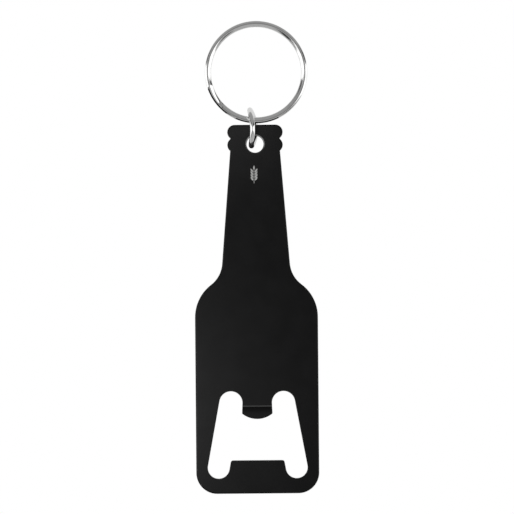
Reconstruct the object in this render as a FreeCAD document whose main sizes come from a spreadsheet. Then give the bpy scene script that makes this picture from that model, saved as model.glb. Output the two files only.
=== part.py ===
import FreeCAD, Part
import math
import os

import Sketcher
from FreeCAD import Placement, Rotation, Vector

# Bottle-shaped key ring opener: a flat blanked plate hangs from a round-wire link,
# and the link hangs on a double-coil split ring. Millimetres, +Z up, front face
# towards -Y, origin at the middle of the split ring's eye.

SIZES = {
    # split ring: two turns of oval wire. Seen from the front, the front turn steps back
    # from crossover_start, counted anticlockwise from +X, and its free end lies over the step
    "ring_outer_radius": 12.5,
    "coil_width": 1.5,
    "coil_height": 0.9,
    "coil_side_radius": 0.3,
    "coil_gap": 0.05,
    "crossover_start": 195.0,
    "crossover_angle": 27.0,
    "ring_end_slant": 1.3,
    # link: one turn of round wire with butted ends
    "link_radius": 4.38,
    "link_wire_radius": 0.65,
    "link_turn": 358.8,
    "link_end_angle": 215.0,
    "link_across": 0.9,
    "link_drop": 13.6,
    "link_yaw": 4.0,
    "link_lean": 1.9,
    # plate: depths are measured down from its top edge
    "plate_across": 0.4,
    "plate_drop": 12.85,
    "plate_length": 90.0,
    "plate_thickness": 2.0,
    "body_half_width": 15.0,
    "corner_radius": 5.1,
    "edge_round": 0.4,
    # the crown at the bottle's mouth: two round beads and the notch between them
    "bead_radius": 1.8,
    "bead_across": 4.96,
    "bead_pitch": 3.12,
    "notch_radius": 0.25,
    # neck and shoulder
    "neck_top_half_width": 6.09,
    "neck_base_half_width": 8.27,
    "neck_curve_radius": 7.0,
    "shoulder_radius": 10.0,
    "shoulder_depth": 46.95,
    # hanging hole
    "hole_radius": 2.07,
    "hole_depth": 4.75,
    "hole_bevel": 0.3,
    # crown-cap mouth: tongue above, lip below, a round lobe in each corner
    "upper_lobe_radius": 2.82,
    "upper_lobe_across": 6.42,
    "upper_lobe_depth": 67.82,
    "lower_lobe_radius": 2.66,
    "lower_lobe_across": 9.53,
    "lower_lobe_depth": 83.7,
    "tongue_half_width": 3.71,
    "tongue_tip_radius": 5.9,
    "tongue_tip_depth": 71.82,
    "tongue_corner_radius": 0.35,
    "lip_depth": 81.92,
    "lip_corner_radius": 0.6,
    "mouth_round": 0.15,
    # coined step across the front of the tongue
    "step_depth": 68.79,
    "step_height": 0.8,
    "step_bevel": 0.3,
}

CROSSOVER_SECTIONS = 5
PARTS_FOLDER = "parts"


def make_sheet(doc):
    """The driving sizes, one aliased row each."""
    sheet = doc.addObject("Spreadsheet::Sheet", "sizes")
    for row, (name, value) in enumerate(SIZES.items(), start=1):
        sheet.set(f"A{row}", name)
        sheet.set(f"B{row}", str(value))
        sheet.setAlias(f"B{row}", name)
    doc.recompute()
    return sheet


def plane_of(body, role):
    """One of the body's own origin planes or axes."""
    return next(item for item in body.Origin.OriginFeatures if item.Role == role)


def new_body(doc, label):
    body = doc.addObject("PartDesign::Body", label)
    body.Label = label
    return body


def new_sketch(body, name, plane):
    sketch = body.newObject("Sketcher::SketchObject", name)
    sketch.AttachmentSupport = [(plane_of(body, plane), "")]
    sketch.MapMode = "FlatFace"
    return sketch


def bind_placement(body, across="0", drop="0"):
    """Hang a body across and below the origin by sheet values."""
    body.setExpression(".Placement.Base.x", f"-({across})")
    body.setExpression(".Placement.Base.z", f"-({drop})")


def size(sketch, kind, where, value, expression):
    """Add a dimension to a sketch and drive it from the sheet."""
    index = sketch.addConstraint(Sketcher.Constraint(kind, *where, value))
    name = f"size_{index}"
    sketch.renameConstraint(index, name)
    sketch.setExpression(f"Constraints.{name}", expression)


def across_to(sketch, point, expression):
    """Set how far to the right of the middle line a point lies."""
    value = sketch.getPoint(*point).x
    size(sketch, "DistanceX", (-1, 1, *point), value, expression)


def down_to(sketch, point, expression):
    """Set how far below the sketch's origin a point lies."""
    value = -sketch.getPoint(*point).y
    size(sketch, "DistanceY", (*point, -1, 1), value, expression)


def radius_of(sketch, index, expression):
    value = sketch.Geometry[index].Radius
    size(sketch, "Radius", (index,), value, expression)


def join(sketch, first, second, tangent=False):
    """Bring two ends together, smoothly if tangent."""
    kind = "Tangent" if tangent else "Coincident"
    sketch.addConstraint(Sketcher.Constraint(kind, *first, *second))


def polygon(sketch, corners):
    """Join straight lines through the corners and back to the first one."""
    count = len(corners)
    for start, end in zip(corners, corners[1:] + corners[:1]):
        sketch.addGeometry(Part.LineSegment(Vector(*start, 0), Vector(*end, 0)))
    for index in range(count):
        join(sketch, (index, 2), ((index + 1) % count, 1))


class Stretch:
    """A line or arc of a sketch, with its ends in the order a walk passes them."""

    def __init__(self, index, first_end, last_end, is_arc):
        self.index = index
        self.start = (index, first_end)
        self.end = (index, last_end)
        self.centre = (index, 3)
        self.is_arc = is_arc


def draw_line(sketch, start, end):
    shape = Part.LineSegment(Vector(*start, 0), Vector(*end, 0))
    return Stretch(sketch.addGeometry(shape), 1, 2, False)


def draw_arc(sketch, centre, radius, start, end):
    """An arc walked from one angle to the other, in degrees."""
    low, high = sorted((start, end))
    circle = Part.Circle(Vector(*centre, 0), Vector(0, 0, 1), radius)
    shape = Part.ArcOfCircle(circle, math.radians(low), math.radians(high))
    ends = (1, 2) if end > start else (2, 1)
    return Stretch(sketch.addGeometry(shape), *ends, True)


class Walk:
    """Draws the right side of a symmetric outline and keeps its mirror image in step."""

    def __init__(self, sketch):
        self.sketch = sketch
        self.right = []
        self.left = []

    def _append(self, right, left):
        if self.right:
            join(self.sketch, self.right[-1].end, right.start, tangent=True)
            join(self.sketch, self.left[-1].end, left.start)
        self.right.append(right)
        self.left.append(left)
        return right

    def line(self, start, end):
        right = draw_line(self.sketch, start, end)
        left = draw_line(self.sketch, (-start[0], start[1]), (-end[0], end[1]))
        return self._append(right, left)

    def arc(self, centre, radius, start, end):
        mirrored = (-centre[0], centre[1])
        right = draw_arc(self.sketch, centre, radius, start, end)
        left = draw_arc(self.sketch, mirrored, radius, 180 - start, 180 - end)
        return self._append(right, left)

    def close(self, first, last):
        """Close the outline: first leads from left to right, last back to the left."""
        join(self.sketch, self.left[0].start, first.start)
        join(self.sketch, first.end, self.right[0].start, tangent=True)
        join(self.sketch, self.right[-1].end, last.start, tangent=True)
        join(self.sketch, last.end, self.left[-1].end)
        add = self.sketch.addConstraint
        for right, left in zip(self.right, self.left):
            add(Sketcher.Constraint("Symmetric", *right.start, *left.start, -2))
            if right.is_arc:
                add(Sketcher.Constraint("Equal", right.index, left.index))
        add(Sketcher.Constraint("Symmetric", *self.right[-1].end, *self.left[-1].end, -2))


def draw_outline(body):
    """The plate's bottle-shaped outline, walked from its top edge down each side."""
    sketch = new_sketch(body, "outline", "XZ_Plane")
    walk = Walk(sketch)
    across = SIZES["bead_across"]
    bead = SIZES["bead_radius"]
    notch = SIZES["notch_radius"]
    upper = -bead
    lower = upper - SIZES["bead_pitch"]
    half_pitch = SIZES["bead_pitch"] / 2
    reach = math.sqrt((bead + notch) ** 2 - half_pitch**2)
    turn = math.degrees(math.atan2(half_pitch, reach))
    neck_top = SIZES["neck_top_half_width"]
    nook = neck_top + notch
    nook_turn = math.degrees(math.acos((nook - across) / (bead + notch)))
    nook_z = lower - (bead + notch) * math.sin(math.radians(nook_turn))
    upper_bead = walk.arc((across, upper), bead, 90, -turn)
    notch_centre = (across + reach, (upper + lower) / 2)
    notch_blend = walk.arc(notch_centre, notch, 180 - turn, 180 + turn)
    lower_bead = walk.arc((across, lower), bead, turn, -nook_turn)
    nook_blend = walk.arc((nook, nook_z), notch, 180 - nook_turn, 180)

    # the shoulder's two arcs: the hollow one outside the neck, the full one inside the body
    hollow = SIZES["neck_curve_radius"]
    full = SIZES["shoulder_radius"]
    half_width = SIZES["body_half_width"]
    neck_base = SIZES["neck_base_half_width"]
    full_centre = (half_width - full, -SIZES["shoulder_depth"])
    apart = neck_base + hollow - full_centre[0]
    rise = math.sqrt((hollow + full) ** 2 - apart**2)
    hollow_centre = (neck_base + hollow, full_centre[1] + rise)
    sweep = math.degrees(math.atan2(rise, apart))
    bottom = -SIZES["plate_length"]
    corner = SIZES["corner_radius"]
    neck = walk.line((neck_top, nook_z), (neck_base, hollow_centre[1]))
    waist = walk.arc(hollow_centre, hollow, 180, 180 + sweep)
    shoulder = walk.arc(full_centre, full, sweep, 0)
    side = walk.line((half_width, full_centre[1]), (half_width, bottom + corner))
    foot = walk.arc((half_width - corner, bottom + corner), corner, 0, -90)

    top = draw_line(sketch, (-across, 0), (across, 0))
    base = draw_line(sketch, (half_width - corner, bottom), (corner - half_width, bottom))
    walk.close(top, base)

    sketch.addConstraint(Sketcher.Constraint("PointOnObject", *top.end, -1))
    sketch.addConstraint(Sketcher.Constraint("Vertical", side.index))
    across_to(sketch, upper_bead.centre, "sizes.bead_across")
    across_to(sketch, lower_bead.centre, "sizes.bead_across")
    down_to(sketch, lower_bead.centre, "sizes.bead_radius + sizes.bead_pitch")
    across_to(sketch, neck.start, "sizes.neck_top_half_width")
    across_to(sketch, neck.end, "sizes.neck_base_half_width")
    down_to(sketch, shoulder.centre, "sizes.shoulder_depth")
    across_to(sketch, side.start, "sizes.body_half_width")
    down_to(sketch, base.start, "sizes.plate_length")
    radius_of(sketch, upper_bead.index, "sizes.bead_radius")
    radius_of(sketch, lower_bead.index, "sizes.bead_radius")
    radius_of(sketch, notch_blend.index, "sizes.notch_radius")
    radius_of(sketch, nook_blend.index, "sizes.notch_radius")
    radius_of(sketch, waist.index, "sizes.neck_curve_radius")
    radius_of(sketch, shoulder.index, "sizes.shoulder_radius")
    radius_of(sketch, foot.index, "sizes.corner_radius")
    return sketch


def draw_mouth(body):
    """The crown-cap mouth, walked from the tongue's tip round each side to the lip."""
    sketch = new_sketch(body, "mouth_outline", "XZ_Plane")
    walk = Walk(sketch)
    tip = SIZES["tongue_tip_radius"]
    tip_centre = -SIZES["tongue_tip_depth"] + tip
    half = SIZES["tongue_half_width"]
    corner = SIZES["tongue_corner_radius"]
    tip_angle = math.degrees(math.acos((half - corner) / (tip - corner)))
    corner_z = tip_centre - (tip - corner) * math.sin(math.radians(tip_angle))
    upper = (SIZES["upper_lobe_across"], -SIZES["upper_lobe_depth"])
    lower = (SIZES["lower_lobe_across"], -SIZES["lower_lobe_depth"])
    upper_radius = SIZES["upper_lobe_radius"]
    lower_radius = SIZES["lower_lobe_radius"]
    lean = math.degrees(math.atan2(lower[0] - upper[0], upper[1] - lower[1]))
    normal = (math.cos(math.radians(lean)), math.sin(math.radians(lean)))
    lip_z = -SIZES["lip_depth"]
    lip_corner = SIZES["lip_corner_radius"]

    def beside(centre, distance):
        return (centre[0] + normal[0] * distance, centre[1] + normal[1] * distance)

    inner_foot = beside(lower, -lower_radius)
    lip_x = inner_foot[0] - (lip_z - inner_foot[1]) * math.tan(math.radians(lean))
    round_tip = walk.arc((half - corner, corner_z), corner, -tip_angle, 0)
    tongue_side = walk.line((half, corner_z), (upper[0] - upper_radius, upper[1]))
    upper_lobe = walk.arc(upper, upper_radius, 180, lean)
    flank = walk.line(beside(upper, upper_radius), beside(lower, lower_radius))
    lower_lobe = walk.arc(lower, lower_radius, lean, lean - 180)
    lip_side = walk.line(inner_foot, (lip_x, lip_z - lip_corner))
    lip_round = walk.arc((lip_x - lip_corner, lip_z - lip_corner), lip_corner, lean, 90)

    tongue_tip = draw_arc(sketch, (0, tip_centre), tip, tip_angle - 180, -tip_angle)
    lip_top = draw_line(sketch, (lip_x - lip_corner, lip_z), (lip_corner - lip_x, lip_z))
    walk.close(tongue_tip, lip_top)

    tip_depth = "sizes.tongue_tip_depth - sizes.tongue_tip_radius"
    down_to(sketch, tongue_tip.centre, tip_depth)
    across_to(sketch, tongue_side.start, "sizes.tongue_half_width")
    across_to(sketch, upper_lobe.centre, "sizes.upper_lobe_across")
    down_to(sketch, upper_lobe.centre, "sizes.upper_lobe_depth")
    across_to(sketch, lower_lobe.centre, "sizes.lower_lobe_across")
    down_to(sketch, lower_lobe.centre, "sizes.lower_lobe_depth")
    down_to(sketch, lip_top.start, "sizes.lip_depth")
    sketch.addConstraint(Sketcher.Constraint("Parallel", flank.index, lip_side.index))
    radius_of(sketch, tongue_tip.index, "sizes.tongue_tip_radius")
    radius_of(sketch, round_tip.index, "sizes.tongue_corner_radius")
    radius_of(sketch, upper_lobe.index, "sizes.upper_lobe_radius")
    radius_of(sketch, lower_lobe.index, "sizes.lower_lobe_radius")
    radius_of(sketch, lip_round.index, "sizes.lip_corner_radius")
    return sketch


def draw_hole(body):
    sketch = new_sketch(body, "hole_circle", "XZ_Plane")
    centre = Vector(0, -SIZES["hole_depth"], 0)
    circle = Part.Circle(centre, Vector(0, 0, 1), SIZES["hole_radius"])
    index = sketch.addGeometry(circle)
    sketch.addConstraint(Sketcher.Constraint("PointOnObject", index, 3, -2))
    down_to(sketch, (index, 3), "sizes.hole_depth")
    radius_of(sketch, index, "sizes.hole_radius")
    return sketch


def draw_step(body):
    """The coined step from the side: a bevel, the step's wall and the land under it."""
    sketch = new_sketch(body, "step_profile", "YZ_Plane")
    front = -SIZES["plate_thickness"] / 2
    land = front + SIZES["step_height"]
    top = -SIZES["step_depth"]
    bevel = SIZES["step_bevel"]
    bottom = -SIZES["tongue_tip_depth"] - 1
    corners = [(front, top + bevel), (front + bevel, top), (land, top)]
    corners += [(land, bottom), (front, bottom)]
    polygon(sketch, corners)
    for kind, index in (("Horizontal", 1), ("Vertical", 2), ("Horizontal", 3), ("Vertical", 4)):
        sketch.addConstraint(Sketcher.Constraint(kind, index))
    size(sketch, "DistanceX", (4, 2, -1, 1), -front, "sizes.plate_thickness / 2")
    size(sketch, "DistanceX", (4, 2, 2, 1), land - front, "sizes.step_height")
    size(sketch, "DistanceX", (0, 1, 0, 2), bevel, "sizes.step_bevel")
    size(sketch, "DistanceY", (0, 2, 0, 1), bevel, "sizes.step_bevel")
    down_to(sketch, (1, 1), "sizes.step_depth")
    down_to(sketch, (3, 1), "sizes.tongue_tip_depth + 1")
    return sketch


def pad(body, name, sketch, length):
    feature = body.newObject("PartDesign::Pad", name)
    feature.Profile = sketch
    feature.SideType = "Symmetric"
    feature.setExpression("Length", length)
    return feature


def pocket_through(body, name, sketch):
    feature = body.newObject("PartDesign::Pocket", name)
    feature.Profile = sketch
    feature.Type = "ThroughAll"
    feature.SideType = "Symmetric"
    return feature


def edge_names(shape, edges):
    """The names of some of a shape's edges, for a fillet or chamfer."""
    every = shape.Edges
    return [f"Edge{i}" for i, edge in enumerate(every, 1) if any(edge.isSame(e) for e in edges)]


def flat_faces(shape, normal):
    """The planar faces that look along a direction, the largest first."""
    faces = [
        face
        for face in shape.Faces
        if isinstance(face.Surface, Part.Plane) and face.normalAt(0, 0).dot(normal) > 0.999
    ]
    return sorted(faces, key=lambda face: face.Area, reverse=True)


def broad_faces(shape):
    return [flat_faces(shape, Vector(0, side, 0))[0] for side in (-1, 1)]


def dress(body, name, kind, base, edges, prop, expression):
    """A fillet or chamfer on some edges of the feature before it."""
    feature = body.newObject(f"PartDesign::{kind}", name)
    feature.Base = (base, edge_names(base.Shape, edges))
    feature.setExpression(prop, expression)
    body.Document.recompute()
    return feature


def inner_wires(face):
    """The wires of a face's openings, the smallest first."""
    wires = [wire for wire in face.Wires if not wire.isSame(face.OuterWire)]
    return sorted(wires, key=lambda wire: wire.Length)


def make_plate(doc):
    body = new_body(doc, "opener_plate")
    pad(body, "blank", draw_outline(body), "sizes.plate_thickness")
    pocket_through(body, "hanging_hole", draw_hole(body))
    mouth = pocket_through(body, "crown_mouth", draw_mouth(body))
    doc.recompute()

    faces = broad_faces(mouth.Shape)
    rim = [edge for face in faces for edge in face.OuterWire.Edges]
    rounded = dress(body, "rounded_rim", "Fillet", mouth, rim, "Radius", "sizes.edge_round")
    faces = broad_faces(rounded.Shape)
    rim = [edge for face in faces for edge in inner_wires(face)[0].Edges]
    bevel = dress(body, "hole_bevel", "Chamfer", rounded, rim, "Size", "sizes.hole_bevel")
    faces = broad_faces(bevel.Shape)
    rim = [edge for face in faces for edge in inner_wires(face)[1].Edges]
    dress(body, "mouth_rim", "Fillet", bevel, rim, "Radius", "sizes.mouth_round")

    step = body.newObject("PartDesign::Pocket", "coined_step")
    step.Profile = draw_step(body)
    step.SideType = "Symmetric"
    step.setExpression("Length", "2 * (sizes.tongue_half_width + 1)")
    bind_placement(body, "sizes.plate_across", "sizes.plate_drop")
    return body


def draw_coil(body, name, turn, shift):
    """An oval wire section, turned about the ring's axis and shifted along it."""
    sketch = new_sketch(body, name, "XY_Plane")
    sketch.AttachmentOffset = Placement(Vector(0, 0, 0), Rotation(Vector(0, 1, 0), 0))
    sketch.setExpression(".AttachmentOffset.Rotation.Angle", turn)
    sketch.setExpression(".AttachmentOffset.Base.y", shift)
    outer = SIZES["ring_outer_radius"] - SIZES["coil_side_radius"]
    inner = SIZES["ring_outer_radius"] - SIZES["coil_width"] + SIZES["coil_side_radius"]
    half = (outer - inner) / 2
    rise = SIZES["coil_height"] / 2
    round_side = SIZES["coil_side_radius"]
    dome = (half**2 + rise**2 - round_side**2) / (2 * (rise - round_side))
    corner = math.degrees(math.asin(half / (dome - round_side)))
    middle = (outer + inner) / 2
    arcs = [
        (outer, 0, round_side, corner - 90, 90 - corner),
        (middle, rise - dome, dome, 90 - corner, 90 + corner),
        (inner, 0, round_side, 90 + corner, 270 - corner),
        (middle, dome - rise, dome, 270 - corner, 270 + corner),
    ]
    for x, y, radius, start, end in arcs:
        draw_arc(sketch, (x, y), radius, start, end)
    for index in range(4):
        join(sketch, (index, 2), ((index + 1) % 4, 1), tangent=True)
    for side in (0, 2):
        sketch.addConstraint(Sketcher.Constraint("PointOnObject", side, 3, -1))
    out = "sizes.ring_outer_radius - sizes.coil_side_radius"
    reach = "sizes.coil_width / 2 - sizes.coil_side_radius"
    across_to(sketch, (0, 3), out)
    size(sketch, "DistanceX", (2, 3, 0, 3), outer - inner, f"2 * ({reach})")
    radius_of(sketch, 0, "sizes.coil_side_radius")
    sketch.addConstraint(Sketcher.Constraint("Equal", 0, 2))
    squares = f"({reach}) ^ 2 + (sizes.coil_height / 2) ^ 2 - sizes.coil_side_radius ^ 2"
    flatness = "sizes.coil_height - 2 * sizes.coil_side_radius"
    radius_of(sketch, 1, f"({squares}) / ({flatness})")
    sketch.addConstraint(Sketcher.Constraint("Equal", 1, 3))
    return sketch


def revolve(body, name, sketch, axis, angle):
    feature = body.newObject("PartDesign::Revolution", name)
    feature.Profile = sketch
    feature.ReferenceAxis = (sketch, [axis])
    feature.setExpression("Angle", angle)
    return feature


def draw_end_cut(body):
    """A triangle that slants the front coil's free end, from its inner corner outwards."""
    sketch = new_sketch(body, "end_cut_outline", "XZ_Plane")
    sketch.AttachmentOffset = Placement(Vector(0, 0, 0), Rotation(Vector(0, 0, 1), 0))
    sketch.setExpression(".AttachmentOffset.Rotation.Angle", "sizes.crossover_angle")
    slant = SIZES["ring_end_slant"]
    width = SIZES["coil_width"]
    inner = SIZES["ring_outer_radius"] - width
    far = inner + 2 * width
    corners = [(inner, 0), (far, 2 * slant), (far, -slant / 2)]
    polygon(sketch, corners)
    sketch.addConstraint(Sketcher.Constraint("PointOnObject", 0, 1, -1))
    sketch.addConstraint(Sketcher.Constraint("Vertical", 1))
    across_to(sketch, (0, 1), "sizes.ring_outer_radius - sizes.coil_width")
    size(sketch, "DistanceX", (0, 1, 0, 2), 2 * width, "2 * sizes.coil_width")
    size(sketch, "DistanceY", (0, 1, 0, 2), 2 * slant, "2 * sizes.ring_end_slant")
    size(sketch, "DistanceY", (1, 2, 0, 1), slant / 2, "sizes.ring_end_slant / 2")
    return sketch


def make_split_ring(doc):
    body = new_body(doc, "split_ring")
    layer = "(sizes.coil_height + sizes.coil_gap) / 2"
    turn = "360 - sizes.crossover_angle"
    back = draw_coil(body, "back_section", "0", layer)
    revolve(body, "back_coil", back, "V_Axis", turn)
    doc.recompute()

    sections = []
    for index in range(CROSSOVER_SECTIONS):
        along = index / (CROSSOVER_SECTIONS - 1)
        eased = along**2 * (3 - 2 * along)
        angle = f"{turn} + {along} * sizes.crossover_angle"
        shift = f"{1 - 2 * eased} * {layer}"
        sections.append(draw_coil(body, f"crossover_section_{index + 1}", angle, shift))
    crossover = body.newObject("PartDesign::AdditiveLoft", "crossover")
    crossover.Profile = sections[0]
    crossover.Sections = sections[1:]
    doc.recompute()

    front = draw_coil(body, "front_section", "0", f"-{layer}")
    revolve(body, "front_coil", front, "V_Axis", turn)
    cut = body.newObject("PartDesign::Pocket", "slanted_end")
    cut.Profile = draw_end_cut(body)
    cut.Reversed = True
    cut.setExpression("Length", "sizes.coil_height + 1")
    body.Placement = Placement(Vector(0, 0, 0), Rotation(Vector(0, 1, 0), -1))
    body.setExpression(".Placement.Rotation.Angle", "-sizes.crossover_start")
    return body


def make_link(doc):
    body = new_body(doc, "jump_ring")
    sketch = new_sketch(body, "wire_section", "XY_Plane")
    sketch.AttachmentOffset = Placement(Vector(0, 0, 0), Rotation(Vector(1, 0, 0), 0))
    sketch.setExpression(".AttachmentOffset.Rotation.Angle", "sizes.link_end_angle")
    reach = SIZES["link_radius"]
    wire = SIZES["link_wire_radius"]
    circle = Part.Circle(Vector(0, -reach, 0), Vector(0, 0, 1), wire)
    index = sketch.addGeometry(circle)
    sketch.addConstraint(Sketcher.Constraint("PointOnObject", index, 3, -2))
    down_to(sketch, (index, 3), "sizes.link_radius")
    radius_of(sketch, index, "sizes.link_wire_radius")
    revolve(body, "turn", sketch, "H_Axis", "sizes.link_turn")
    place = "create(<<vector>>; -sizes.link_across; 0; -sizes.link_drop)"
    twist = "create(<<rotation>>; -sizes.link_yaw; -sizes.link_lean; 0)"
    body.setExpression("Placement", f"create(<<placement>>; {place}; {twist})")
    return body


def check(doc, bodies):
    """Stop if any object failed or any sub-part isn't one whole solid."""
    for item in doc.Objects:
        if "Invalid" in item.State or "Error" in item.State:
            raise RuntimeError(f"{item.Label} failed: {item.State}")
        if item.isDerivedFrom("Sketcher::SketchObject") and not item.FullyConstrained:
            raise RuntimeError(f"{item.Label} isn't fully constrained")
    for body in bodies:
        shape = body.Shape
        if shape.isNull() or not shape.isValid() or len(shape.Solids) != 1:
            raise RuntimeError(f"{body.Label} isn't one valid solid")
        box = shape.BoundBox
        spans = f"{box.XLength:.2f} x {box.YLength:.2f} x {box.ZLength:.2f} mm"
        print(f"{body.Label}: {shape.Volume:.1f} mm3, {spans}")


def main():
    doc = FreeCAD.newDocument("bottle_opener_keychain")
    make_sheet(doc)
    bodies = [make_plate(doc), make_link(doc), make_split_ring(doc)]
    doc.recompute()
    check(doc, bodies)
    os.makedirs(PARTS_FOLDER, exist_ok=True)
    for body in bodies:
        body.Shape.exportStep(os.path.join(PARTS_FOLDER, f"{body.Label}.step"))


main()
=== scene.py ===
# %% [markdown]
# # A bottle opener on a key ring
#
# The real object is three pieces of metal: a black anodised aluminium plate cut to the outline of
# a bottle, a link of bright round wire through the hole in its neck, and a split key ring of oval
# spring wire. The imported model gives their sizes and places. This lesson adds what a maker's
# drawing leaves out: the wires with their real cut ends, the finishes, and a small engraved mark.

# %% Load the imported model
import math

import bpy
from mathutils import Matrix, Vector


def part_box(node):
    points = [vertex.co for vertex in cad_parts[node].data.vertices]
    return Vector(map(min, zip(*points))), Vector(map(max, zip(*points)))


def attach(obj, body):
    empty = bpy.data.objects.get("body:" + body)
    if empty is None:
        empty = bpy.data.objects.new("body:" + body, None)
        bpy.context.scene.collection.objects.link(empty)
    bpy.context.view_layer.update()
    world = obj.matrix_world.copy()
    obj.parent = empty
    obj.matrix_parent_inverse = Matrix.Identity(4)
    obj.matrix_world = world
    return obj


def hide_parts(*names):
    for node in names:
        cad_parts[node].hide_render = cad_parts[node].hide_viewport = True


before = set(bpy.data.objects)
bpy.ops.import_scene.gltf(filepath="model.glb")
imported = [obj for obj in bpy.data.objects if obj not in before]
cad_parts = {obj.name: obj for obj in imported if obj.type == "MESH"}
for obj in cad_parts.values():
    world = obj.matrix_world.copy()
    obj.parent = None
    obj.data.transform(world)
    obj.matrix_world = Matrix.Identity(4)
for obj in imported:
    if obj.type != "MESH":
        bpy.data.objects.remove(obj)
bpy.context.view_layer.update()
MM = 0.001

# %% Measure the pieces that everything else is placed from
PLATE_LOW, PLATE_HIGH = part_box("opener_plate")
RING_LOW, RING_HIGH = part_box("split_ring")
LINK_LOW, LINK_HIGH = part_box("jump_ring")
PLATE_MIDDLE = (PLATE_LOW + PLATE_HIGH) / 2
PLATE_FRONT = PLATE_LOW.y
HOLE_MIDDLE = Vector((PLATE_MIDDLE.x, 0, PLATE_HIGH.z - 4.75 * MM))
WHOLE_MIDDLE_Z = (PLATE_LOW.z + RING_HIGH.z) / 2
for name, low, high in (
    ("plate", PLATE_LOW, PLATE_HIGH),
    ("ring", RING_LOW, RING_HIGH),
    ("link", LINK_LOW, LINK_HIGH),
):
    size = high - low
    print(name, "measures", [round(side / MM, 2) for side in size], "mm")

# %% [markdown]
# ## The camera
#
# A flat object is shown best straight on, with a long lens, so that its outline isn't distorted.
# Wide lenses close by would also work, but they make near things grow. The camera stands a metre
# in front, and its lens is worked out from how wide a strip it should see. It is turned by half
# a degree, because a hanging thing is seldom perfectly upright.

# %% Place the camera
VIEW_DISTANCE = 1.0
VIEW_WIDTH = 125.5 * MM
VIEW_SIDE = -0.15 * MM
VIEW_RISE = 0.05 * MM
SENSOR_WIDTH = 36.0
CAMERA_TURN = math.radians(-0.485)

bpy.ops.object.camera_add(
    location=(VIEW_SIDE, -VIEW_DISTANCE, WHOLE_MIDDLE_Z + VIEW_RISE),
    rotation=(math.radians(90), 0, 0),
)
camera = bpy.context.object
camera.name = "camera"
camera.rotation_euler.rotate_axis("Z", CAMERA_TURN)
camera.data.sensor_width = SENSOR_WIDTH
camera.data.lens = SENSOR_WIDTH * VIEW_DISTANCE / VIEW_WIDTH
camera.data.clip_start = 0.01
bpy.context.scene.camera = camera
bpy.context.scene.view_settings.view_transform = "Standard"
print("lens:", round(camera.data.lens, 1), "mm")

# %% [markdown]
# ## Small helpers for nodes
#
# A material is a chain of nodes, and most of them do a little arithmetic. Two helpers keep the
# cells below short: one adds a node and fills its inputs, the other adds a Math node. An input
# is either a plain number or the output of an earlier node.

# %% Helpers that add nodes
def feed(tree, socket, value):
    """Gives an input socket a plain value, or links it to another node's output."""
    if isinstance(value, bpy.types.NodeSocket):
        tree.links.new(value, socket)
    else:
        socket.default_value = value


def add_node(tree, kind, inputs=None, **settings):
    """Adds one node. Inputs go by their name or number, settings by their name."""
    node = tree.nodes.new(kind)
    for name, value in settings.items():
        setattr(node, name, value)
    for name, value in (inputs or {}).items():
        feed(tree, node.inputs[name], value)
    return node


def maths(tree, operation, first, second=0.0):
    """Adds a Math node and returns its result."""
    node = add_node(tree, "ShaderNodeMath", {0: first, 1: second}, operation=operation)
    return node.outputs[0]


def ease(tree, value, start, end, low=0.0, high=1.0):
    """A soft step: low before start, high after end, and a smooth curve between them."""
    inputs = {"Value": value, "From Min": start, "From Max": end, "To Min": low, "To Max": high}
    node = add_node(tree, "ShaderNodeMapRange", inputs, interpolation_type="SMOOTHSTEP")
    return node.outputs["Result"]


def blend_colours(tree, mask, first, second):
    """Mixes two colours by a mask and returns the colour."""
    node = add_node(tree, "ShaderNodeMix", data_type="RGBA")
    feed(tree, node.inputs[0], mask)
    feed(tree, node.inputs[6], first)
    feed(tree, node.inputs[7], second)
    return node.outputs[2]


def overlap(tree, *masks):
    """A mask that is 1 only where all of these are."""
    together = masks[0]
    for mask in masks[1:]:
        together = maths(tree, "MULTIPLY", together, mask)
    return together


def grey(level):
    return (level, level, level, 1.0)


print("node helpers ready")

# %% [markdown]
# ## The studio
#
# Polished metal shows nothing but the room round it, so the room is what gives chrome its look.
# A plain white room would make the rings vanish. So they hang in a tent of grey cloth, with a
# white panel on the left and on the right. Dark frames over the panels and small dark cards under
# them draw the black lines in the metal. All of it is the world background, which asks where each
# reflected ray goes and answers white, grey or black. Rays that go straight to the camera see
# plain white, like a sheet of paper.

# %% Ask where a reflected ray goes
world = bpy.data.worlds.new("studio_tent")
bpy.context.scene.world = world
world.use_nodes = True
tent = world.node_tree
tent.nodes.clear()
direction = add_node(tent, "ShaderNodeTexCoord").outputs["Generated"]
split = add_node(tent, "ShaderNodeSeparateXYZ", {0: direction})
aside = maths(tent, "ABSOLUTE", split.outputs["X"])
upward = split.outputs["Z"]
backward = split.outputs["Y"]


def line_over(start, slope):
    """A slanted line: its height grows with the distance aside."""
    return maths(tent, "ADD", maths(tent, "MULTIPLY", aside, slope), start)


def between(low_line, high_line, softness):
    """A mask that is 1 between two slanted lines and 0 outside them."""
    over = ease(tent, maths(tent, "SUBTRACT", upward, low_line), -softness, softness)
    under = ease(tent, maths(tent, "SUBTRACT", high_line, upward), -softness, softness)
    return overlap(tent, over, under)


CARD_EDGE = 0.04


def round_card(across, up, reach):
    """A mask that is 1 on a small round card hung in this direction."""
    off_across = maths(tent, "SUBTRACT", split.outputs["X"], across)
    off_up = maths(tent, "SUBTRACT", upward, up)
    squares = maths(
        tent,
        "ADD",
        maths(tent, "MULTIPLY", off_across, off_across),
        maths(tent, "MULTIPLY", off_up, off_up),
    )
    return ease(tent, maths(tent, "SQRT", squares), reach + CARD_EDGE, reach - CARD_EDGE)


print("tent asks for", direction.name)

# %% Hang the grey cloth
CLOTH_ABOVE = 0.36
CLOTH_BELOW = 0.47
CLOTH_AHEAD = 0.24
CLOTH_SEAM = (0.05, -0.2)
AHEAD_PATCH = (0.955, 0.99)

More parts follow.
